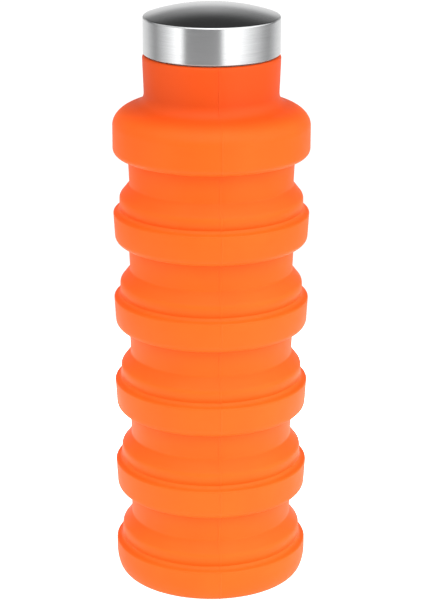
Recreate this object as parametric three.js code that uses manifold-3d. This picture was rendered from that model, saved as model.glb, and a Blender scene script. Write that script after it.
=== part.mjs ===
// Folding silicone water bottle with a screw-on steel lid, standing open.
// Millimetres, +Z up, origin at the centre of the foot, on the surface the bottle stands on.
//
// The silicone body is one moulding: a base cup, four stiff bands and a shoulder, joined by
// waists. Each waist telescopes into the band below it while a thin fold wall turns inside out.
// Here the moulding is divided where it folds. Stages and bands are numbered from the top.

import * as THREE from "three";
import { mergeVertices } from "three/addons/utils/BufferGeometryUtils.js";
import Module from "manifold-3d";

const wasm = await Module();
wasm.setup();

// ---------------------------------------------------------------- driving dimensions
const SEGMENTS = 32; // facets round each turned piece
const GAP = 0.3; // clearance between pieces that touch on the real bottle

const STAGES = 5; // folding stages between the base cup and the shoulder
const PITCH = 33.7; // lip to lip, open
const BASE_LIP = 12.4; // height of the base cup's lip

const BAND_RADIUS = 37.5; // at the lip, the widest part of the bottle
const BAND_DEPTH = 11.4; // lip to underside
const BAND_TAPER = 0.5; // how much narrower a band is at its underside
const BAND_BORE = 35.4; // radius inside a band
const FLOOR_BORE = 29.6; // hole in a band's floor, where the waist below it starts
const FLOOR_THICKNESS = 1.5;
const LIP_ROUND = 0.8;
const UNDER_ROUND = 2.0;

const WAIST_FOOT = 31.3; // outer radius of a waist at its lower end
const WAIST_HEAD = 31.8; // and at its upper end
const WAIST_WALL = 2.2;

const STEP_RADIUS = 35.1; // outer radius of a fold wall where it stands on the lip
const STEP_FOOT = 7.0; // height above the lip where the wall leans in
const STEP_HEAD = 11.8; // height above the lip where it meets the waist
const STEP_ROOT = 1.0; // depth of its root below the lip
const FOLD_WALL = 1.3;
const FOLD_DROP = 0.5; // how much lower the inside of the wall leans in
const STEP_END = 1.5; // thickness of the inner end that joins the waist

const FOOT_RADIUS = 34.4; // outer edge of the foot
const FOOT_INNER = 27.5; // inner edge of the foot, round the raised centre
const BASE_ROUND = 8.5; // height of the curve from the foot to the side
const BASE_FLOOR = 2.5; // thickness of the floor over the foot
const PUNT = 1.2; // how far the centre of the floor is raised
const PUNT_SLOPE = 1.0;
const CUP_ROUND = 1.5; // inside corner of the cup

const SHOULDER_UNDERSIDE = 170.0;
const SHOULDER_SIDE_TOP = 180.9;
const SHOULDER_WALL = 2.5;
const NECK_FOOT = 188.8;
const NECK_TOP = 207.8;
const NECK_FOOT_RADIUS = 25.4;
const NECK_HEAD_RADIUS = 26.1;
const NECK_BORE = 22.9;
const NECK_ROUND = 0.7;

const MOUTH_RADIUS = 19.6; // bore of the collar, which is the bottle's mouth
const COLLAR_FOOT = 190.5;
const FLANGE_RADIUS = 24.6; // the collar's flange, let into the top of the neck
const FLANGE_THICKNESS = 1.5;
const BARB_RADIUS = 23.6; // ring that holds the collar in the neck
const BARB_FOOT = 196.0;
const BARB_HEAD = 198.0;
const SPOUT_TOP = 217.7;
const SPOUT_CHAMFER = 0.7;

const THREAD_ROOT = 21.8; // spout's wall between the ridges
const THREAD_CREST = 23.0;
const LID_THREAD_ROOT = 23.5; // the same in the lid, with running clearance
const LID_THREAD_CREST = 22.3;
const THREAD_STARTS = 2;
const THREAD_LEAD = 8.0; // the lid rises this much in one turn
const THREAD_BASE = 1.8; // ridge width at its root
const THREAD_TIP = 1.0; // and at its crest
const THREAD_TURNS = 0.65;
const THREAD_START = 209.6; // height of a ridge's middle where it starts
const THREAD_BURIED = 0.4; // how far a ridge's root runs into its wall
const THREAD_FADE = 3; // steps over which a ridge grows to its full height
const THREAD_STEPS = 26;

const LID_FOOT = 208.3;
const LID_RADIUS = 25.8;
const LID_SIDE_TOP = 221.8;
const LID_TOP = 226.5;
const LID_SHEET = 0.55; // thickness of the steel
const LID_BEVEL = 0.45;
const CORE_FOOT = 208.7;
const CORE_DISC_FOOT = 219.4;
const CORE_DISC_TOP = 221.2;
const CORE_CHAMFER = 0.7;
const GASKET_FOOT = 218.0;
const GASKET_HEAD = 219.1;
const GASKET_INNER = 19.2;
const GASKET_OUTER = 23.1;
const RIB_WIDTH = 0.9; // ring on the core that centres the gasket
const RIB_DEPTH = 1.0;

// ---------------------------------------------------------------- shapes

// Points [radius, height] along a quarter of an ellipse, or any arc of one.
function arc(centreRadius, centreHeight, halfWidth, halfHeight, fromDegrees, toDegrees, steps) {
  const points = [];
  for (let i = 0; i <= steps; i++) {
    const angle = THREE.MathUtils.degToRad(fromDegrees + ((toDegrees - fromDegrees) * i) / steps);
    points.push([
      centreRadius + halfWidth * Math.cos(angle),
      centreHeight + halfHeight * Math.sin(angle),
    ]);
  }
  return points;
}

// A closed outline turned about Z. The outline runs anticlockwise, with radius to the right.
function turned(outline) {
  const points = outline.map(([radius, height]) => new THREE.Vector2(Math.max(radius, 0), height));
  const onAxis = points[0].x === 0 && points[points.length - 1].x === 0;
  if (!onAxis) points.push(points[0].clone());
  return new THREE.LatheGeometry(points, SEGMENTS).rotateX(Math.PI / 2);
}

// The same surface with shared corners and without the flat triangles at the axis.
function merged(geometry) {
  const bare = geometry.clone();
  bare.deleteAttribute("normal");
  bare.deleteAttribute("uv");
  const shared = mergeVertices(bare, 1e-3);
  const corners = shared.index.array;
  const kept = [];
  for (let i = 0; i < corners.length; i += 3) {
    const [a, b, c] = corners.subarray(i, i + 3);
    if (a !== b && b !== c && c !== a) kept.push(a, b, c);
  }
  shared.setIndex(kept);
  return shared;
}

function toSolid(geometry) {
  const shared = merged(geometry);
  return new wasm.Manifold(
    new wasm.Mesh({
      numProp: 3,
      vertProperties: new Float32Array(shared.attributes.position.array),
      triVerts: new Uint32Array(shared.index.array),
    }),
  );
}

function toGeometry(solid) {
  const mesh = solid.getMesh();
  const geometry = new THREE.BufferGeometry();
  geometry.setAttribute("position", new THREE.BufferAttribute(mesh.vertProperties, 3));
  geometry.setIndex(new THREE.BufferAttribute(mesh.triVerts, 1));
  return geometry;
}

// One right-hand thread ridge: a trapezium swept up a helix, fading out at both ends.
function threadRidge(rootRadius, crestRadius, startAngle, startHeight) {
  const positions = [];
  const corners = [];
  for (let step = 0; step <= THREAD_STEPS; step++) {
    const turn = (THREAD_TURNS * step) / THREAD_STEPS;
    const angle = startAngle + turn * 2 * Math.PI;
    const height = startHeight + turn * THREAD_LEAD;
    const fromEnd = Math.min(step, THREAD_STEPS - step);
    const grown = Math.min(1, (fromEnd + 1) / (THREAD_FADE + 1));
    const crest = rootRadius + (crestRadius - rootRadius) * grown;
    const outwards = crestRadius > rootRadius;
    const inner = outwards ? [rootRadius, THREAD_BASE] : [crest, THREAD_TIP];
    const outer = outwards ? [crest, THREAD_TIP] : [rootRadius, THREAD_BASE];
    const section = [
      [inner[0], -inner[1] / 2],
      [outer[0], -outer[1] / 2],
      [outer[0], outer[1] / 2],
      [inner[0], inner[1] / 2],
    ];
    for (const [radius, offset] of section) {
      positions.push(radius * Math.cos(angle), radius * Math.sin(angle), height + offset);
    }
  }
  for (let step = 0; step < THREAD_STEPS; step++) {
    for (let side = 0; side < 4; side++) {
      const a = step * 4 + side;
      const d = step * 4 + ((side + 1) % 4);
      corners.push(a, a + 4, d, d + 4, d, a + 4);
    }
  }
  const end = THREAD_STEPS * 4;
  corners.push(0, 1, 2, 0, 2, 3);
  corners.push(end, end + 2, end + 1, end, end + 3, end + 2);
  const ridge = new THREE.BufferGeometry();
  ridge.setAttribute("position", new THREE.Float32BufferAttribute(positions, 3));
  ridge.setIndex(corners);
  return ridge;
}

function withThread(body, rootRadius, crestRadius, startHeight) {
  let solid = toSolid(body);
  for (let start = 0; start < THREAD_STARTS; start++) {
    const angle = (start * 2 * Math.PI) / THREAD_STARTS;
    solid = solid.add(toSolid(threadRidge(rootRadius, crestRadius, angle, startHeight)));
  }
  return toGeometry(solid);
}

// ---------------------------------------------------------------- materials

const silicone = () =>
  new THREE.MeshStandardMaterial({ color: 0xfb6a26, roughness: 0.55, metalness: 0 });
const steel = () =>
  new THREE.MeshStandardMaterial({ color: 0xb9bcbd, roughness: 0.32, metalness: 1 });
const plastic = () =>
  new THREE.MeshStandardMaterial({ color: 0xe9e8e2, roughness: 0.45, metalness: 0 });
const seal = () =>
  new THREE.MeshStandardMaterial({ color: 0xd9d8d2, roughness: 0.6, metalness: 0 });

const bottle = new THREE.Group();

function place(name, geometry, material) {
  const mesh = new THREE.Mesh(geometry, material);
  mesh.name = name;
  bottle.add(mesh);
}

// ---------------------------------------------------------------- silicone body

// Height of the lip that stage 1 (top) to STAGES (on the base cup) folds into.
const lipOf = (stage) => BASE_LIP + PITCH * (STAGES - stage);
const undersideAbove = (stage) => (stage === 1 ? SHOULDER_UNDERSIDE : lipOf(stage - 1) - BAND_DEPTH);

const lipCorner = (lip) =>
  arc(BAND_RADIUS - LIP_ROUND, lip - LIP_ROUND, LIP_ROUND, LIP_ROUND, 0, 90, 2);

function baseCup() {
  const roundWidth = BAND_RADIUS - FOOT_RADIUS;
  return turned([
    [0, PUNT],
    [FOOT_INNER - PUNT_SLOPE, PUNT],
    [FOOT_INNER, 0],
    ...arc(FOOT_RADIUS, BASE_ROUND, roundWidth, BASE_ROUND, -90, 0, 4),
    ...lipCorner(BASE_LIP),
    [BAND_BORE, BASE_LIP],
    ...arc(BAND_BORE - CUP_ROUND, BASE_FLOOR + CUP_ROUND, CUP_ROUND, CUP_ROUND, 0, -90, 2),
    [FOOT_INNER, BASE_FLOOR],
    [FOOT_INNER - PUNT_SLOPE, BASE_FLOOR + PUNT_SLOPE],
    [0, BASE_FLOOR + PUNT_SLOPE],
  ]);
}

function band(stage) {
  const lip = lipOf(stage);
  const underside = lip - BAND_DEPTH;
  const underRadius = BAND_RADIUS - BAND_TAPER;
  return turned([
    [FLOOR_BORE, underside],
    ...arc(underRadius - UNDER_ROUND, underside + UNDER_ROUND, UNDER_ROUND, UNDER_ROUND, -90, 0, 3),
    ...lipCorner(lip),
    [BAND_BORE, lip],
    [BAND_BORE, underside + FLOOR_THICKNESS],
    [FLOOR_BORE, underside + FLOOR_THICKNESS],
  ]);
}

// The wall that rides with the band or shoulder above it and slides into the one below.
function waist(stage) {
  const foot = lipOf(stage) + STEP_HEAD + GAP;
  const head = undersideAbove(stage) - GAP;
  return turned([
    [WAIST_FOOT - WAIST_WALL, foot],
    [WAIST_FOOT, foot],
    [WAIST_HEAD, head],
    [WAIST_HEAD - WAIST_WALL, head],
  ]);
}

// The thin stepped wall that turns inside out, from the lip up and in to the waist.
function foldWall(stage) {
  const lip = lipOf(stage);
  const innerFoot = STEP_RADIUS - FOLD_WALL;
  return turned([
    [innerFoot, lip - STEP_ROOT],
    [STEP_RADIUS, lip - STEP_ROOT],
    [STEP_RADIUS, lip + STEP_FOOT],
    [WAIST_FOOT, lip + STEP_HEAD],
    [WAIST_FOOT - STEP_END, lip + STEP_HEAD],
    [innerFoot, lip + STEP_FOOT - FOLD_DROP],
  ]);
}

function shoulder() {
  const underside = SHOULDER_UNDERSIDE;
  const side = BAND_RADIUS;
  const bore = side - SHOULDER_WALL;
  const rise = NECK_FOOT - SHOULDER_SIDE_TOP;
  const flangeBore = FLANGE_RADIUS + GAP;
  const flangeSeat = NECK_TOP - FLANGE_THICKNESS - GAP;
  const groove = BARB_RADIUS + GAP;
  return turned([
    [FLOOR_BORE, underside],
    ...arc(side - UNDER_ROUND, underside + UNDER_ROUND, UNDER_ROUND, UNDER_ROUND, -90, 0, 3),
    ...arc(NECK_FOOT_RADIUS, SHOULDER_SIDE_TOP, side - NECK_FOOT_RADIUS, rise, 0, 90, 6),
    ...arc(NECK_HEAD_RADIUS - NECK_ROUND, NECK_TOP - NECK_ROUND, NECK_ROUND, NECK_ROUND, 0, 90, 2),
    [flangeBore, NECK_TOP],
    [flangeBore, flangeSeat],
    [NECK_BORE, flangeSeat],
    [NECK_BORE, BARB_HEAD + GAP],
    [groove, BARB_HEAD + GAP],
    [groove, BARB_FOOT - GAP],
    [NECK_BORE, BARB_FOOT - GAP],
    ...arc(NECK_BORE, SHOULDER_SIDE_TOP, bore - NECK_BORE, rise - SHOULDER_WALL, 90, 0, 4),
    [bore, underside + FLOOR_THICKNESS],
    [FLOOR_BORE, underside + FLOOR_THICKNESS],
  ]);
}

// ---------------------------------------------------------------- neck collar and lid

function threadedCollar() {
  const sleeve = NECK_BORE - GAP;
  const body = turned([
    [MOUTH_RADIUS, COLLAR_FOOT],
    [sleeve, COLLAR_FOOT],
    [sleeve, BARB_FOOT],
    [BARB_RADIUS, BARB_FOOT],
    [BARB_RADIUS, BARB_HEAD],
    [sleeve, BARB_HEAD],
    [sleeve, NECK_TOP - FLANGE_THICKNESS],
    [FLANGE_RADIUS, NECK_TOP - FLANGE_THICKNESS],
    [FLANGE_RADIUS, NECK_TOP],
    [THREAD_ROOT, NECK_TOP],
    [THREAD_ROOT, SPOUT_TOP - SPOUT_CHAMFER],
    [THREAD_ROOT - SPOUT_CHAMFER, SPOUT_TOP],
    [MOUTH_RADIUS, SPOUT_TOP],
  ]);
  return withThread(body, THREAD_ROOT - THREAD_BURIED, THREAD_CREST, THREAD_START);
}

function lidCore() {
  const outer = LID_RADIUS - LID_SHEET - GAP;
  const ribOuter = GASKET_INNER - GAP;
  const ribInner = ribOuter - RIB_WIDTH;
  const body = turned([
    [0, CORE_DISC_FOOT],
    [ribInner, CORE_DISC_FOOT],
    [ribInner, CORE_DISC_FOOT - RIB_DEPTH],
    [ribOuter, CORE_DISC_FOOT - RIB_DEPTH],
    [ribOuter, CORE_DISC_FOOT],
    [LID_THREAD_ROOT, CORE_DISC_FOOT],
    [LID_THREAD_ROOT, CORE_FOOT],
    [outer, CORE_FOOT],
    [outer, CORE_DISC_TOP - CORE_CHAMFER],
    [outer - CORE_CHAMFER, CORE_DISC_TOP],
    [0, CORE_DISC_TOP],
  ]);
  // The lid's ridges run midway between the collar's.
  const halfPitch = THREAD_LEAD / THREAD_STARTS / 2;
  return withThread(
    body,
    LID_THREAD_ROOT + THREAD_BURIED,
    LID_THREAD_CREST,
    THREAD_START + halfPitch,
  );
}

function lidShell() {
  const inner = LID_RADIUS - LID_SHEET;
  const edge = LID_RADIUS - LID_BEVEL;
  const edgeHeight = LID_SIDE_TOP + LID_BEVEL;
  const rise = LID_TOP - edgeHeight;
  const domeRadius = (edge * edge + rise * rise) / (2 * rise);
  const centre = LID_TOP - domeRadius;
  const sweep = THREE.MathUtils.radToDeg(Math.asin(edge / domeRadius));
  const inside = domeRadius - LID_SHEET;
  return turned([
    ...arc(0, centre, inside, inside, 90, 90 - sweep, 4).map(([r, h], i) => [i ? r : 0, h]),
    [inner, LID_SIDE_TOP - LID_SHEET],
    [inner, LID_FOOT],
    [LID_RADIUS, LID_FOOT],
    [LID_RADIUS, LID_SIDE_TOP],
    ...arc(0, centre, domeRadius, domeRadius, 90 - sweep, 90, 5).map(([r, h], i) => [i < 5 ? r : 0, h]),
  ]);
}

function lidGasket() {
  return turned([
    [GASKET_INNER, GASKET_FOOT],
    [GASKET_OUTER, GASKET_FOOT],
    [GASKET_OUTER, GASKET_HEAD],
    [GASKET_INNER, GASKET_HEAD],
  ]);
}

// ---------------------------------------------------------------- the bottle

place("base_cup", baseCup(), silicone());
for (let stage = 1; stage <= STAGES; stage++) {
  place(`fold_wall_${stage}`, foldWall(stage), silicone());
  place(`waist_${stage}`, waist(stage), silicone());
  if (stage < STAGES) place(`band_${stage}`, band(stage), silicone());
}
place("shoulder", shoulder(), silicone());
place("threaded_collar", threadedCollar(), plastic());
place("lid_core", lidCore(), plastic());
place("lid_gasket", lidGasket(), seal());
place("lid_shell", lidShell(), steel());

export default bottle;
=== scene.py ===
# Folding silicone water bottle with a screw-on steel lid: its looks, built round the CAD frame.
# Metres, +Z up, origin at the centre of the foot. The bottle is seen from -Y.

import math

import bpy
from mathutils import Matrix, Vector


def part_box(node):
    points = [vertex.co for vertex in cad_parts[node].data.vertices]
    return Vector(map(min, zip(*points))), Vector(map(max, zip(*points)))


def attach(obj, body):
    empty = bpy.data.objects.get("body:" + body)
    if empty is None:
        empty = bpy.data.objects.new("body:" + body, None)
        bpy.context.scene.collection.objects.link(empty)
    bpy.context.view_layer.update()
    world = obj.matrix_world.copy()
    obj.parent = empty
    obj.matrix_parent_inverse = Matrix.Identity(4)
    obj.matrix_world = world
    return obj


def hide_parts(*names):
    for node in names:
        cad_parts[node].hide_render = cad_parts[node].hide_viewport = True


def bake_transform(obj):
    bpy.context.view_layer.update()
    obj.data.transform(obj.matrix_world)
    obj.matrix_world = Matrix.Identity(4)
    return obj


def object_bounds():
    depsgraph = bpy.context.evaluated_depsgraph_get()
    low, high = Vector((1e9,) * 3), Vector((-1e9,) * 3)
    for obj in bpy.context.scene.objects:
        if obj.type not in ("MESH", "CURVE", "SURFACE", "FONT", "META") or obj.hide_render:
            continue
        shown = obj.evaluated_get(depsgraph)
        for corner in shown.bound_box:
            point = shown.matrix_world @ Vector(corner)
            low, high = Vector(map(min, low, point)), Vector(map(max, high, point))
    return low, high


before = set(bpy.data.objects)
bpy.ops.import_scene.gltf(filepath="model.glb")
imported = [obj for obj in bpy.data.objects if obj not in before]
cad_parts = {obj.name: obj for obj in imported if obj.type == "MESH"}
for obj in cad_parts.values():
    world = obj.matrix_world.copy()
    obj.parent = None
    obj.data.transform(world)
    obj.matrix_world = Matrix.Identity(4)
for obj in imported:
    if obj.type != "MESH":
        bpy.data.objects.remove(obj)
cad_low, cad_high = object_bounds()

MM = 0.001
STAGES = 5  # folding stages, numbered from the top

# ---------------------------------------------------------------- driving dimensions
SEGMENTS = 192  # round each turned piece
ARC_STEP = math.radians(12)  # turn between the points of a rounded corner

LIP_ROUND = 0.8 * MM
LEDGE_RISE = 0.9 * MM  # how far a lip's top slopes up towards the fold wall
CREASE_FILLET = 2.1 * MM  # sweeps the lip's top up into the fold wall
CREASE_RISE = 1.4 * MM
CREASE_TUCK = 0.1 * MM  # how far the top of the sweep dips under the fold wall's surface
FLANGE_REACH = 1.1 * MM  # the lip runs in this far under the fold wall
FLANGE_DEPTH = 1.1 * MM
BAND_TAPER = 0.7 * MM  # how much narrower a band is at its underside
BAND_WALL = 2.1 * MM
UNDER_ROUND = 2.7 * MM
UNDER_DROP = 0.35 * MM  # how far a band's underside lies below the plain solid's
FLOOR_THICKNESS = 1.5 * MM
FLOOR_REACH = 1.9 * MM  # a band's floor runs in this far past the waist's outside
INNER_ROUND = 1.0 * MM

FOLD_WALL = 1.3 * MM
WAIST_FOOT = 31.3 * MM  # outer radius of a waist at its lower end
STEP_WALL_HEIGHT = 6.2 * MM  # upright part of the fold wall above the lip
STEP_HINGE = 2.8 * MM  # height above the lip where the wall starts to roll
STEP_SHOULDER_ROUND = 2.8 * MM
STEP_TOP_FILLET = 1.4 * MM
STEP_DROP = 0.8 * MM  # how far the step's top lies below the plain solid's
STEP_ROWS = 9  # rows of points up each straight stretch that rolls
WAIST_ROOT_FILLET = 0.6 * MM
WAIST_ROOT_REACH = 1.2 * MM

FOOT_RADIUS = 34.4 * MM
FOOT_INNER = 27.5 * MM
FOOT_ROUND = 0.6 * MM
BASE_ROUND_HEIGHT = 8.5 * MM
BASE_FLOOR = 2.5 * MM
PUNT = 1.2 * MM  # how far the middle of the floor is raised
PUNT_SLOPE = 1.0 * MM

SHOULDER_SIDE_TOP = 180.9 * MM
SHOULDER_WALL = 2.5 * MM
NECK_FOOT = 188.8 * MM
NECK_FOOT_RADIUS = 25.4 * MM
NECK_HEAD_RADIUS = 26.1 * MM
NECK_FILLET = 5.0 * MM
SHOULDER_SWEEP = 66  # degrees of the shoulder's curve before it runs on into the neck
NECK_ROUND = 1.3 * MM
NECK_BORE = 22.9 * MM
NECK_SHADE_FROM = (184.5 * MM, 189.5 * MM)  # heights over which the neck's painted shade takes over
NECK_SHADE_SHARE = 0.78  # share of the neck's painted shade. 0 leaves the silicone one colour all over.
COLLAR_SEAT = 1.6 * MM  # depth of the recess that takes the collar's flange
SEAT_CLEARANCE = 0.05 * MM

RIDGE_HALF_WIDTH = 0.45 * MM  # mould parting line
RIDGE_HEIGHT = 0.2 * MM
PARTING_ANGLE = math.radians(-84)

MOUTH_RADIUS = 19.6 * MM
COLLAR_FLANGE = 1.5 * MM
SPOUT_ROUND = 0.7 * MM
THREAD_ROOT = 21.8 * MM
THREAD_CREST = 23.0 * MM
LID_THREAD_ROOT = 23.5 * MM
LID_THREAD_CREST = 22.3 * MM
THREAD_STARTS = 2
THREAD_LEAD = 8.0 * MM
THREAD_TURNS = 0.65
THREAD_START = 209.6 * MM
THREAD_BASE = 1.8 * MM
THREAD_TIP = 0.9 * MM
THREAD_BURIED = 0.4 * MM
FLANK_REACH = 0.75  # share of the ridge's height where its flank bends
FLANK_RISE = 0.85  # share of the flank's lean that lies below that bend
THREAD_STEPS = 90
THREAD_FADE = 12  # steps over which a ridge grows to its full height

LID_SHEET = 0.55 * MM
LID_CORNER = 222.1 * MM  # height at which the dome meets the side
LID_HEM_ROUND = 0.16 * MM
LID_HEM_REACH = 0.9 * MM  # the steel's lower edge is rolled in this far, under the liner
LID_HEM_HEIGHT = 0.36 * MM
LID_HEM_OUTER_ROUND = 0.3 * MM
LID_EDGE_ROUND = 0.9 * MM
DOME_STEPS = 28
LINER_DISC_FOOT = 219.4 * MM
LINER_ROUND = 0.7 * MM
RIB_RADIUS = 18.9 * MM
RIB_WIDTH = 0.9 * MM
RIB_DEPTH = 1.0 * MM
GASKET_INNER = 19.2 * MM
GASKET_ROUND = 0.35 * MM


# ---------------------------------------------------------------- outlines

def fillet(before, corner, after, radius):
    """Points of the arc that rounds one corner of an outline."""
    to_before = (before - corner).normalized()
    to_after = (after - corner).normalized()
    opening = to_before.angle(to_after)
    if radius <= 0 or opening > math.pi - 1e-3:
        return [corner]
    reach = radius / math.tan(opening / 2)
    centre = corner + (to_before + to_after).normalized() * radius / math.sin(opening / 2)
    first = corner + to_before * reach - centre
    last = corner + to_after * reach - centre
    start = math.atan2(first.y, first.x)
    turn = math.remainder(math.atan2(last.y, last.x) - start, math.tau)
    steps = max(2, math.ceil(abs(turn) / ARC_STEP))
    return [
        centre + Vector((math.cos(start + turn * i / steps), math.sin(start + turn * i / steps))) * radius
        for i in range(steps + 1)
    ]


def rounded(corners, closed=True):
    """An outline of points (radius, height) from corners (radius, height, rounding)."""
    places = [Vector(corner[:2]) for corner in corners]
    count = len(places)
    outline = []
    for i, corner in enumerate(corners):
        rounding = corner[2] if len(corner) > 2 else 0
        at_end = not closed and i in (0, count - 1)
        if at_end or rounding == 0:
            outline.append(places[i])
        else:
            outline += fillet(places[i - 1], places[i], places[(i + 1) % count], rounding)
    return outline


def ellipse(centre, half_width, half_height, start, end, steps):
    """Points along an arc of an ellipse, with angles in degrees."""
    points = []
    for i in range(steps + 1):
        angle = math.radians(start + (end - start) * i / steps)
        points.append((centre[0] + half_width * math.cos(angle), centre[1] + half_height * math.sin(angle)))
    return points


def offset(outline, distance):
    """The open outline moved by distance to its left, which is inwards for one that climbs."""
    moved = []
    for i, point in enumerate(outline):
        before = (point - outline[i - 1]).normalized() if i else None
        after = (outline[i + 1] - point).normalized() if i < len(outline) - 1 else None
        along = ((before or after) + (after or before)).normalized()
        stretch = along.dot(before or after)
        moved.append(point + Vector((-along.y, along.x)) * distance / stretch)
    return moved


def with_rows(outline, low, high, rows):
    """The outline with extra points between two heights, so that it can roll smoothly."""
    spacing = (high - low) / rows
    filled = [outline[0]]
    for start, end in zip(outline, outline[1:]):
        inside = low <= start.y and end.y <= high
        pieces = max(1, round((end - start).length / spacing)) if inside else 1
        filled += [start.lerp(end, (i + 1) / pieces) for i in range(pieces)]
    return filled


# ---------------------------------------------------------------- meshes

def bearings(parting):
    """Angles round a turned piece, closer together across the two parting lines."""
    even = [math.tau * i / SEGMENTS for i in range(SEGMENTS)]
    if not parting:
        return even
    half_width = RIDGE_HALF_WIDTH / cad_high.x
    fine = []
    for line in (PARTING_ANGLE, PARTING_ANGLE + math.pi):
        even = [a for a in even if abs(math.remainder(a - line, math.tau)) > 2.2 * half_width]
        fine += [(line + half_width * k / 2) % math.tau for k in range(-4, 5)]
    return sorted(even + fine)


def ridge_height(angle):
    """Height of the parting line's ridge at an angle."""
    half_width = RIDGE_HALF_WIDTH / cad_high.x
    nearest = min(
        abs(math.remainder(angle - PARTING_ANGLE, math.tau)),
        abs(math.remainder(angle - PARTING_ANGLE - math.pi, math.tau)),
    )
    share = min(1.0, nearest / half_width)
    return RIDGE_HEIGHT * (1 + math.cos(math.pi * share)) / 2


def turned(outline, closed=True, parting=False):
    """Vertices and faces of an outline turned about Z. It runs anticlockwise, radius to the right."""
    angles = bearings(parting)
    vertices = []
    rings = []
    for radius, height in outline:
        if radius < 1e-7:
            rings.append([len(vertices)] * len(angles))
            vertices.append((0, 0, height))
            continue
        rings.append(range(len(vertices), len(vertices) + len(angles)))
        for angle in angles:
            r = radius + (ridge_height(angle) if parting else 0)
            vertices.append((r * math.cos(angle), r * math.sin(angle), height))
    faces = []
    pairs = list(zip(rings, rings[1:]))
    if closed and outline[0][0] > 1e-7:
        pairs.append((rings[-1], rings[0]))
    for low, high in pairs:
        for j in range(len(angles)):
            k = (j + 1) % len(angles)
            corners = dict.fromkeys((low[j], low[k], high[k], high[j]))
            if len(corners) > 2:
                faces.append(tuple(corners))
    return vertices, faces


def thread_ridge(root, crest, start_angle, start_height):
    """One right-hand thread ridge, fading out at both ends."""
    lean = (THREAD_BASE - THREAD_TIP) / 2
    vertices = []
    for step in range(THREAD_STEPS + 1):
        turn = THREAD_TURNS * step / THREAD_STEPS
        angle = start_angle + turn * math.tau
        middle = start_height + turn * THREAD_LEAD
        grown = min(1, (min(step, THREAD_STEPS - step) + 1) / THREAD_FADE)
        tip = root + (crest - root) * math.sin(grown * math.pi / 2)
        section = [
            (root, -THREAD_BASE / 2),
            (root + (tip - root) * FLANK_REACH, -THREAD_BASE / 2 + lean * FLANK_RISE),
            (tip, -THREAD_TIP / 3),
            (tip, THREAD_TIP / 3),
            (root + (tip - root) * FLANK_REACH, THREAD_BASE / 2 - lean * FLANK_RISE),
            (root, THREAD_BASE / 2),
        ]
        if crest < root:
            section.reverse()
        for radius, rise in section:
            vertices.append((radius * math.cos(angle), radius * math.sin(angle), middle + rise))
    count = len(section)
    faces = [tuple(reversed(range(count))), tuple(THREAD_STEPS * count + i for i in range(count))]
    for step in range(THREAD_STEPS):
        for side in range(count):
            a = step * count + side
            b = step * count + (side + 1) % count
            faces.append((a, b, b + count, a + count))
    return vertices, [tuple(reversed(face)) for face in faces]


def join(parts):
    """Several closed surfaces as one list of vertices and one of faces."""
    vertices = []
    faces = []
    for part_vertices, part_faces in parts:
        first = len(vertices)
        vertices += part_vertices
        faces += [tuple(first + i for i in face) for face in part_faces]
    return vertices, faces


def piece(name, surface, material, replaced, sharp=32):
    """A smooth-shaded object that stands for some CAD nodes."""
    mesh = bpy.data.meshes.new(name)
    mesh.from_pydata(*surface_lists(surface))
    mesh.validate()
    mesh.polygons.foreach_set("use_smooth", [True] * len(mesh.polygons))
    mesh.set_sharp_from_angle(angle=math.radians(sharp))
    mesh.materials.append(material)
    made = bpy.data.objects.new(name, mesh)
    bpy.context.scene.collection.objects.link(made)
    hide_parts(*replaced)
    return made


def surface_lists(surface):
    vertices, faces = surface
    return vertices, [], faces


# ---------------------------------------------------------------- material nodes

class Nodes:
    """Short calls for building a node tree."""

    def __init__(self, tree):
        self.tree = tree
        tree.nodes.clear()

    def add(self, kind, inputs=None, **settings):
        node = self.tree.nodes.new(kind)
        for key, value in settings.items():
            setattr(node, key, value)
        for key, value in (inputs or {}).items():
            if isinstance(value, bpy.types.NodeSocket):
                self.tree.links.new(value, node.inputs[key])
            else:
                node.inputs[key].default_value = value
        return node

    def math(self, operation, *values):
        return self.add("ShaderNodeMath", dict(enumerate(values)), operation=operation).outputs[0]

    def noise(self, vector, scale, detail=2.0, roughness=0.5):
        inputs = {"Vector": vector, "Scale": scale, "Detail": detail, "Roughness": roughness}
        return self.add("ShaderNodeTexNoise", inputs).outputs["Fac"]

    def between(self, value, low, high):
        """The value, which runs from 0 to 1, spread over low to high."""
        return self.add("ShaderNodeMapRange", {"Value": value, "To Min": low, "To Max": high}).outputs[0]

    def colours(self, value, *stops):
        """A colour ramp through stops of (place, colour)."""
        ramp = self.add("ShaderNodeValToRGB", {"Fac": value})
        elements = ramp.color_ramp.elements
        while len(elements) < len(stops):
            elements.new(1)
        for element, (place, colour) in zip(elements, stops):
            element.position = place
            element.color = (*colour, 1)
        return ramp.outputs["Color"]

    def bump(self, height, strength, distance, normal=None):
        inputs = {"Height": height, "Strength": strength, "Distance": distance}
        if normal is not None:
            inputs["Normal"] = normal
        return self.add("ShaderNodeBump", inputs).outputs["Normal"]

    def surface(self, **inputs):
        shader = self.add("ShaderNodeBsdfPrincipled", {k.replace("_", " "): v for k, v in inputs.items()})
        self.add("ShaderNodeOutputMaterial", {"Surface": shader.outputs[0]})
        return shader


def new_material(name):
    material = bpy.data.materials.new(name)
    material.use_nodes = True
    return material, Nodes(material.node_tree)


SILICONE_DARK = (0.90, 0.107, 0.0060)
SILICONE_LIGHT = (0.94, 0.117, 0.0070)
# Painted shade: the darker colour given to the neck.
NECK_PAINTED_SHADE = (0.62, 0.06, 0.005)
STEEL_DARK = (0.48, 0.485, 0.49)
STEEL_LIGHT = (0.54, 0.545, 0.55)


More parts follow.
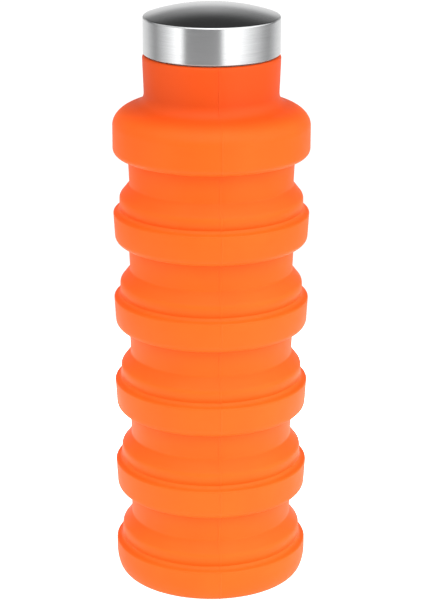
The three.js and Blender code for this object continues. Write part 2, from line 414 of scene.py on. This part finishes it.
def silicone_material():
    """Matt moulded silicone: faintly uneven, frosted, with shallow flow marks.

    The darker colour at the neck is painted shade, with its depth fitted; the real body is one
    moulding of one colour. The darker tone at the neck was fitted to the photo. Its cause isn't
    known: the real body is one moulding and may be one colour.
    """
    material, nodes = new_material("orange_silicone")
    place = nodes.add("ShaderNodeTexCoord").outputs["Object"]
    cloud = nodes.noise(place, 45.0, 3.0, 0.55)
    colour = nodes.colours(
        cloud,
        (0.30, SILICONE_DARK),
        (0.70, SILICONE_LIGHT),
    )
    # Painted shade: over the neck's heights the silicone's colour darkens towards the neck's painted shade.
    height = nodes.add("ShaderNodeSeparateXYZ", {0: place}).outputs[2]
    start, end = NECK_SHADE_FROM
    share = nodes.add(
        "ShaderNodeMapRange",
        {"Value": height, "From Min": start, "From Max": end, "To Max": NECK_SHADE_SHARE},
        interpolation_type="SMOOTHSTEP",
    ).outputs[0]
    neck_shaded = nodes.add("ShaderNodeMix", {0: share, 6: colour, 7: (*NECK_PAINTED_SHADE, 1)}, data_type="RGBA")
    colour = neck_shaded.outputs[2]
    frost = nodes.noise(place, 2600.0, 2.0)
    flow = nodes.noise(place, 160.0, 3.0, 0.6)
    skin = nodes.bump(frost, 0.10, 0.06 * MM, nodes.bump(flow, 0.10, 0.15 * MM))
    nodes.surface(
        Base_Color=colour,
        Roughness=nodes.between(flow, 0.46, 0.60),
        Specular_IOR_Level=0.15,
        Normal=skin,
    )
    return material


def steel_material(name, roughness, anisotropy):
    """Stainless sheet with fine brush lines that run round the axis."""
    material, nodes = new_material(name)
    place = nodes.add("ShaderNodeTexCoord").outputs["Object"]
    axes = nodes.add("ShaderNodeSeparateXYZ", {0: place}).outputs
    squares = [nodes.math("POWER", axes[0], 2), nodes.math("POWER", axes[1], 2)]
    radius = nodes.math("SQRT", nodes.math("ADD", *squares))
    across = nodes.math("MULTIPLY", nodes.math("ADD", radius, axes[2]), 1000.0)

    def brushed(length, fineness):
        """Streaks that run round the axis."""
        round_x = nodes.math("MULTIPLY", nodes.math("DIVIDE", axes[0], radius), length)
        round_y = nodes.math("MULTIPLY", nodes.math("DIVIDE", axes[1], radius), length)
        height = nodes.math("MULTIPLY", across, fineness)
        vector = nodes.add("ShaderNodeCombineXYZ", {0: round_x, 1: round_y, 2: height}).outputs[0]
        return nodes.noise(vector, 1.0, 3.0, 0.65)

    fine = brushed(5.0, 14.0)
    coarse = brushed(2.0, 3.5)
    colour = nodes.colours(coarse, (0.30, STEEL_DARK), (0.70, STEEL_LIGHT))
    tangent = nodes.add("ShaderNodeTangent", direction_type="RADIAL", axis="Z").outputs[0]
    nodes.surface(
        Base_Color=colour,
        Metallic=1.0,
        Roughness=nodes.between(fine, roughness - 0.04, roughness + 0.04),
        Anisotropic=anisotropy,
        Anisotropic_Rotation=0.25,
        Tangent=tangent,
        Normal=nodes.bump(fine, 0.08, 0.02 * MM),
    )
    return material


def plastic_material(name, colour_low, colour_high, roughness):
    """Satin natural polypropylene with a faint moulded grain."""
    material, nodes = new_material(name)
    place = nodes.add("ShaderNodeTexCoord").outputs["Object"]
    cloud = nodes.noise(place, 120.0, 3.0)
    grain = nodes.noise(place, 3500.0, 2.0)
    nodes.surface(
        Base_Color=nodes.colours(cloud, (0.3, colour_low), (0.7, colour_high)),
        Roughness=nodes.between(grain, roughness - 0.05, roughness + 0.07),
        Subsurface_Weight=0.2,
        Subsurface_Radius=(1.0, 0.9, 0.75),
        Subsurface_Scale=1.5 * MM,
        Normal=nodes.bump(grain, 0.08, 0.04 * MM),
    )
    return material


silicone = silicone_material()
side_steel = steel_material("brushed_steel_side", 0.24, 0.5)
dome_steel = steel_material("brushed_steel_dome", 0.19, 0.0)
neck_plastic = plastic_material("collar_polypropylene", (0.74, 0.73, 0.68), (0.80, 0.79, 0.74), 0.36)
lid_plastic = plastic_material("liner_polypropylene", (0.72, 0.72, 0.69), (0.78, 0.78, 0.75), 0.38)
seal = plastic_material("seal_silicone", (0.60, 0.60, 0.57), (0.68, 0.68, 0.65), 0.5)


# ---------------------------------------------------------------- silicone body

def radius_of(node):
    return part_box(node)[1].x


def lip_of(stage):
    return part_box("base_cup" if stage == STAGES else f"band_{stage}")[1].z


def underside_above(stage):
    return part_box("shoulder" if stage == 1 else f"band_{stage - 1}")[0].z - UNDER_DROP


def lip_corners(radius, lip, step_radius):
    """Up the side, over the lip and into the crease where the fold wall stands."""
    crease = lip + LEDGE_RISE
    return [
        (radius, lip, LIP_ROUND),
        (step_radius, crease, CREASE_FILLET),
        (step_radius - CREASE_TUCK, crease + CREASE_RISE),
        (step_radius - FLANGE_REACH, crease),
        (step_radius - FLANGE_REACH, lip - FLANGE_DEPTH),
        (radius - BAND_WALL, lip - FLANGE_DEPTH - FLANGE_REACH),
    ]


def base_moulding():
    radius = radius_of("base_cup")
    lip = lip_of(STAGES)
    side = ellipse(
        (FOOT_RADIUS, BASE_ROUND_HEIGHT), radius - FOOT_RADIUS, BASE_ROUND_HEIGHT, -90, 0, 14
    )
    outline = rounded([
        (0, PUNT),
        (FOOT_INNER - PUNT_SLOPE, PUNT, FOOT_ROUND),
        (FOOT_INNER, 0, FOOT_ROUND),
        *side,
        *lip_corners(radius, lip, radius_of(f"fold_wall_{STAGES}")),
        (radius - BAND_WALL, BASE_FLOOR, INNER_ROUND),
        (FOOT_INNER, BASE_FLOOR, FOOT_ROUND),
        (FOOT_INNER - PUNT_SLOPE, BASE_FLOOR + PUNT_SLOPE, FOOT_ROUND),
        (0, BASE_FLOOR + PUNT_SLOPE),
    ])
    made = piece("base_moulding", turned(outline, parting=True), silicone, ["base_cup"])
    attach(made, "base")


def ring_moulding(stage):
    node = f"band_{stage}"
    radius = radius_of(node)
    lip = lip_of(stage)
    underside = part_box(node)[0].z - UNDER_DROP
    bore = radius_of(f"waist_{stage + 1}") - FLOOR_REACH
    outline = rounded([
        (bore, underside),
        (radius - BAND_TAPER, underside, UNDER_ROUND),
        *lip_corners(radius, lip, radius_of(f"fold_wall_{stage}")),
        (radius - BAND_WALL, underside + FLOOR_THICKNESS, INNER_ROUND),
        (bore, underside + FLOOR_THICKNESS),
    ])
    made = piece(f"ring_moulding_{stage}", turned(outline, parting=True), silicone, [node])
    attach(made, f"ring_{stage}")


def fold_moulding(stage):
    """One sheet from the lip up the fold wall and the waist.

    At full fold it runs through itself and through the ring below.
    """
    lip = lip_of(stage)
    step_radius = radius_of(f"fold_wall_{stage}")
    step_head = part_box(f"fold_wall_{stage}")[1].z - STEP_DROP
    waist_head = radius_of(f"waist_{stage}")
    underside = underside_above(stage)
    outside = rounded([
        (step_radius, lip - LIP_ROUND / 2),
        (step_radius, lip + STEP_WALL_HEIGHT, STEP_SHOULDER_ROUND),
        (WAIST_FOOT, step_head, STEP_TOP_FILLET),
        (waist_head, underside, WAIST_ROOT_FILLET),
        (waist_head + WAIST_ROOT_REACH, underside + 0.05 * MM),
    ], closed=False)
    outside = with_rows(outside, lip + STEP_HINGE / 2, step_head, STEP_ROWS * 2)
    middle = offset(outside, FOLD_WALL / 2)
    made = piece(
        f"fold_moulding_{stage}",
        turned(middle, closed=False, parting=True),
        silicone,
        [f"fold_wall_{stage}", f"waist_{stage}"],
        sharp=80,
    )
    wall = made.modifiers.new("wall", "SOLIDIFY")
    wall.thickness = FOLD_WALL
    wall.offset = 0
    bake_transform(made)


def neck_moulding():
    radius = radius_of("shoulder")
    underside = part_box("shoulder")[0].z - UNDER_DROP
    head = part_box("shoulder")[1].z
    bore = radius_of("waist_1") - FLOOR_REACH
    rise = NECK_FOOT - SHOULDER_SIDE_TOP
    seat_radius = radius_of("threaded_collar") + SEAT_CLEARANCE
    centre = (NECK_FOOT_RADIUS, SHOULDER_SIDE_TOP)
    outer_top = ellipse(centre, radius - NECK_FOOT_RADIUS, rise, 0, SHOULDER_SWEEP, 22)
    neck_root = SHOULDER_SIDE_TOP + rise / math.sin(math.radians(SHOULDER_SWEEP))
    inner_width = radius - SHOULDER_WALL - NECK_BORE
    inner_top = ellipse((NECK_BORE, SHOULDER_SIDE_TOP), inner_width, rise - SHOULDER_WALL, 90, 0, 12)
    outline = rounded([
        (bore, underside),
        (radius, underside, UNDER_ROUND),
        *outer_top,
        (NECK_FOOT_RADIUS, neck_root, NECK_FILLET),
        (NECK_HEAD_RADIUS, head, NECK_ROUND),
        (seat_radius, head, SEAT_CLEARANCE),
        (seat_radius, head - COLLAR_SEAT),
        (NECK_BORE, head - COLLAR_SEAT),
        *inner_top,
        (radius - SHOULDER_WALL, underside + FLOOR_THICKNESS, INNER_ROUND),
        (bore, underside + FLOOR_THICKNESS),
    ])
    made = piece("neck_moulding", turned(outline, parting=True), silicone, ["shoulder"])
    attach(made, "neck")


# ---------------------------------------------------------------- collar and lid

def spout_collar():
    foot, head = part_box("threaded_collar")[0].z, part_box("threaded_collar")[1].z
    flange = radius_of("threaded_collar")
    neck_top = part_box("shoulder")[1].z
    body = turned(rounded([
        (MOUTH_RADIUS, foot, SPOUT_ROUND / 2),
        (NECK_BORE, foot, SPOUT_ROUND / 2),
        (NECK_BORE, neck_top - COLLAR_FLANGE),
        (flange, neck_top - COLLAR_FLANGE),
        (flange, neck_top, SPOUT_ROUND / 2),
        (THREAD_ROOT, neck_top, SPOUT_ROUND / 2),
        (THREAD_ROOT, head, SPOUT_ROUND),
        (MOUTH_RADIUS, head, SPOUT_ROUND),
    ]))
    ridges = [
        thread_ridge(THREAD_ROOT - THREAD_BURIED, THREAD_CREST, math.tau * i / THREAD_STARTS, THREAD_START)
        for i in range(THREAD_STARTS)
    ]
    made = piece("spout_collar", join([body, *ridges]), neck_plastic, ["threaded_collar"])
    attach(made, "neck")


def lid_liner():
    foot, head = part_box("lid_core")[0].z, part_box("lid_core")[1].z
    outer = radius_of("lid_core")
    body = turned(rounded([
        (0, LINER_DISC_FOOT),
        (RIB_RADIUS - RIB_WIDTH, LINER_DISC_FOOT, RIB_WIDTH / 4),
        (RIB_RADIUS - RIB_WIDTH, LINER_DISC_FOOT - RIB_DEPTH, RIB_WIDTH / 3),
        (RIB_RADIUS, LINER_DISC_FOOT - RIB_DEPTH, RIB_WIDTH / 3),
        (RIB_RADIUS, LINER_DISC_FOOT, RIB_WIDTH / 4),
        (LID_THREAD_ROOT, LINER_DISC_FOOT, RIB_WIDTH / 3),
        (LID_THREAD_ROOT, foot, RIB_WIDTH / 3),
        (outer, foot, RIB_WIDTH / 3),
        (outer, head, LINER_ROUND),
        (0, head),
    ]))
    half_pitch = THREAD_LEAD / THREAD_STARTS / 2
    start = THREAD_START + half_pitch
    ridges = [
        thread_ridge(LID_THREAD_ROOT + THREAD_BURIED, LID_THREAD_CREST, math.tau * i / THREAD_STARTS, start)
        for i in range(THREAD_STARTS)
    ]
    made = piece("lid_liner", join([body, *ridges]), lid_plastic, ["lid_core"])
    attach(made, "lid")


def lid_seal():
    foot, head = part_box("lid_gasket")[0].z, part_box("lid_gasket")[1].z
    outer = radius_of("lid_gasket")
    outline = rounded([
        (GASKET_INNER, foot, GASKET_ROUND),
        (outer, foot, GASKET_ROUND),
        (outer, head, GASKET_ROUND),
        (GASKET_INNER, head, GASKET_ROUND),
    ])
    made = piece("lid_seal_ring", turned(outline), seal, ["lid_gasket"])
    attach(made, "lid_seal")


def lid_shell():
    foot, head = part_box("lid_shell")[0].z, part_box("lid_shell")[1].z
    radius = radius_of("lid_shell")
    rise = head - LID_CORNER
    dome_radius = (radius * radius + rise * rise) / (2 * rise)
    centre = (0, head - dome_radius)
    sweep = math.degrees(math.asin((radius - LID_EDGE_ROUND) / dome_radius))
    inside = dome_radius - LID_SHEET
    inner_dome = ellipse(centre, inside, inside, 90, 90 - sweep, DOME_STEPS)
    outer_dome = ellipse(centre, dome_radius, dome_radius, 90 - sweep, 90, DOME_STEPS)
    outline = rounded([
        (0, inner_dome[0][1]),
        *inner_dome[1:-1],
        (radius - LID_SHEET, LID_CORNER - LID_SHEET, LID_EDGE_ROUND - LID_SHEET),
        (radius - LID_SHEET, foot + LID_HEM_HEIGHT),
        (radius - LID_HEM_REACH, foot + LID_HEM_HEIGHT, LID_HEM_ROUND),
        (radius - LID_HEM_REACH, foot, LID_HEM_ROUND),
        (radius, foot, LID_HEM_OUTER_ROUND),
        (radius, LID_CORNER, LID_EDGE_ROUND),
        *outer_dome[:-1],
        (0, head),
    ])
    made = piece("lid_steel_shell", turned(outline), side_steel, ["lid_shell"], sharp=50)
    made.data.materials.append(dome_steel)
    for face in made.data.polygons:
        if face.center.z > LID_CORNER:
            face.material_index = 1
    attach(made, "lid")


base_moulding()
for stage in range(1, STAGES + 1):
    fold_moulding(stage)
    if stage < STAGES:
        ring_moulding(stage)
neck_moulding()
spout_collar()
lid_liner()
lid_seal()
lid_shell()


# ---------------------------------------------------------------- studio

CAMERA_PLACE = Vector((0, -0.7627, 0.3606))
CAMERA_PITCH = math.radians(18.12)  # below the horizon
CAMERA_YAW = math.radians(-0.025)
CAMERA_ROLL = math.radians(0.13)
CAMERA_LENS = 124.1  # millimetres, on a 36 mm sensor


def set_camera():
    data = bpy.data.cameras.new("camera")
    data.lens = CAMERA_LENS
    data.clip_end = 20
    camera = bpy.data.objects.new("camera", data)
    bpy.context.scene.collection.objects.link(camera)
    yaw = Matrix.Rotation(CAMERA_YAW, 4, "Z")
    pitch = Matrix.Rotation(math.pi / 2 - CAMERA_PITCH, 4, "X")
    roll = Matrix.Rotation(CAMERA_ROLL, 4, "Z")
    camera.matrix_world = Matrix.Translation(CAMERA_PLACE) @ yaw @ pitch @ roll
    bpy.context.scene.camera = camera


TABLE_RADIUS = 4.0
TABLE_THICKNESS = 0.02
TABLE_ALBEDO = 0.35
TABLE_RETURN = 0.44  # brightness that the table has without a glow of its own
TABLE_GLOW = 2.55
NEAR_GLOW = (  # metres from the bottle's axis, share of the glow
    (0.0, 0.48), (0.12, 0.54), (0.18, 0.92), (0.24, 0.84), (0.32, 0.20), (0.44, 0.0),
)

FAR_FROM = (0.36, 0.62)  # distances over which the table takes on the horizon's brightness
BACK_GLOW = ((-180, 0.66), (-135, 0.66), (-105, 0.0), (105, 0.0), (135, 0.66), (180, 0.66))

# Brightness round the horizon, as (bearing in degrees, level). 0 is the front. These levels, and the
# table's glow, were fitted to what the photo's lid mirrors.
HORIZON = (
    (-180, 1.06), (-175, 0.95), (-166, 0.6), (-148, 0.6), (-140, 1.06), (-128, 0.22),
    (-105, 0.46), (-80, 1.2), (-58, 2.3), (-51, 2.3), (-44, 0.42), (14, 0.42),
    (21, 2.3), (42, 2.3), (70, 1.3), (95, 0.66), (115, 0.28), (128, 0.22),
    (140, 1.06), (148, 0.6), (166, 0.6), (175, 0.95), (180, 1.06),
)
MIDDLE_LIGHT = (
    (-180, 0.56), (-168, 0.26), (-125, 0.26), (-110, 1.1), (-100, 1.1), (-80, 0.4),
    (-20, 0.1), (0, 0.4), (30, 0.6), (50, 2.9), (80, 2.9), (100, 1.9),
    (115, 1.5), (125, 0.26), (168, 0.26), (180, 0.56),
)
HIGH_LIGHT = (
    (-180, 0.05), (-125, 0.05), (-105, 1.4), (-70, 1.4), (-50, 2.8), (55, 2.8), (75, 2.0), (105, 1.6),
    (125, 0.05), (180, 0.05),
)
MIDDLE_FROM = (0.19, 0.34)  # sines of the elevations where the middle light takes over
HIGH_FROM = (0.37, 0.61)


def round_turn(nodes, direction):
    """How far round the vertical axis a direction points, from 0 to 1, with 0.5 at the front."""
    axes = nodes.add("ShaderNodeSeparateXYZ", {0: direction}).outputs
    bearing = nodes.math("ARCTAN2", axes[0], nodes.math("MULTIPLY", axes[1], -1.0))
    inputs = {"Value": bearing, "From Min": -math.pi, "From Max": math.pi}
    return nodes.add("ShaderNodeMapRange", inputs).outputs[0]


def ring_of_light(nodes, turn, levels, taken=0.0):
    """Levels round the room, less what is taken from each."""
    stops = []
    for degrees, level in levels:
        left = max(0.0, level - taken)
        stops.append(((degrees + 180) / 360, (left, left, left)))
    return nodes.colours(turn, *stops)


def lay_floor():
    """A wide pale table top that glows round the bottle and, far off, as the horizon does."""
    material, nodes = new_material("pale_floor")
    place = nodes.add("ShaderNodeTexCoord").outputs["Object"]
    away = nodes.add("ShaderNodeVectorMath", {0: place}, operation="LENGTH").outputs["Value"]
    near = nodes.colours(away, *[(metres, (share, share, share)) for metres, share in NEAR_GLOW])
    near = nodes.math("MULTIPLY", near, TABLE_GLOW)
    turn = round_turn(nodes, place)
    back = ring_of_light(nodes, turn, BACK_GLOW)
    far = ring_of_light(nodes, turn, HORIZON, TABLE_RETURN)
    share = nodes.add(
        "ShaderNodeMapRange", {"Value": away, "From Min": FAR_FROM[0], "From Max": FAR_FROM[1]}
    ).outputs[0]
    far = nodes.math("MULTIPLY", far, share)
    nodes.surface(
        Base_Color=(TABLE_ALBEDO, TABLE_ALBEDO, TABLE_ALBEDO, 1),
        Roughness=0.9,
        Specular_IOR_Level=0.1,
        Emission_Color=(1, 1, 1, 1),
        Emission_Strength=nodes.math("MAXIMUM", near, nodes.math("MAXIMUM", back, far)),
    )
    outline = [(0, -TABLE_THICKNESS), (TABLE_RADIUS, -TABLE_THICKNESS), (TABLE_RADIUS, 0), (0, 0)]
    mesh = bpy.data.meshes.new("floor")
    mesh.from_pydata(*surface_lists(turned(outline)))
    mesh.materials.append(material)
    floor = bpy.data.objects.new("floor", mesh)
    bpy.context.scene.collection.objects.link(floor)


def light_room():
    """Soft light from all round, strongest from the upper front and right, and dark behind overhead."""
    world = bpy.data.worlds.new("studio")
    world.use_nodes = True
    bpy.context.scene.world = world
    nodes = Nodes(world.node_tree)
    direction = nodes.add("ShaderNodeTexCoord").outputs["Generated"]
    height = nodes.add("ShaderNodeSeparateXYZ", {0: direction}).outputs[2]
    turn = round_turn(nodes, direction)

    def take_over(sines, lower, upper):
        share = nodes.add(
            "ShaderNodeMapRange",
            {"Value": height, "From Min": sines[0], "From Max": sines[1]},
            interpolation_type="SMOOTHSTEP",
        ).outputs[0]
        return nodes.add("ShaderNodeMix", {0: share, 6: lower, 7: upper}, data_type="RGBA").outputs[2]

    low = ring_of_light(nodes, turn, HORIZON)
    light = take_over(MIDDLE_FROM, low, ring_of_light(nodes, turn, MIDDLE_LIGHT))
    light = take_over(HIGH_FROM, light, ring_of_light(nodes, turn, HIGH_LIGHT))
    background = nodes.add("ShaderNodeBackground", {"Color": light, "Strength": 1.0})
    nodes.add("ShaderNodeOutputWorld", {"Surface": background.outputs[0]})


set_camera()
lay_floor()
light_room()
bpy.context.scene.view_settings.view_transform = "Standard"
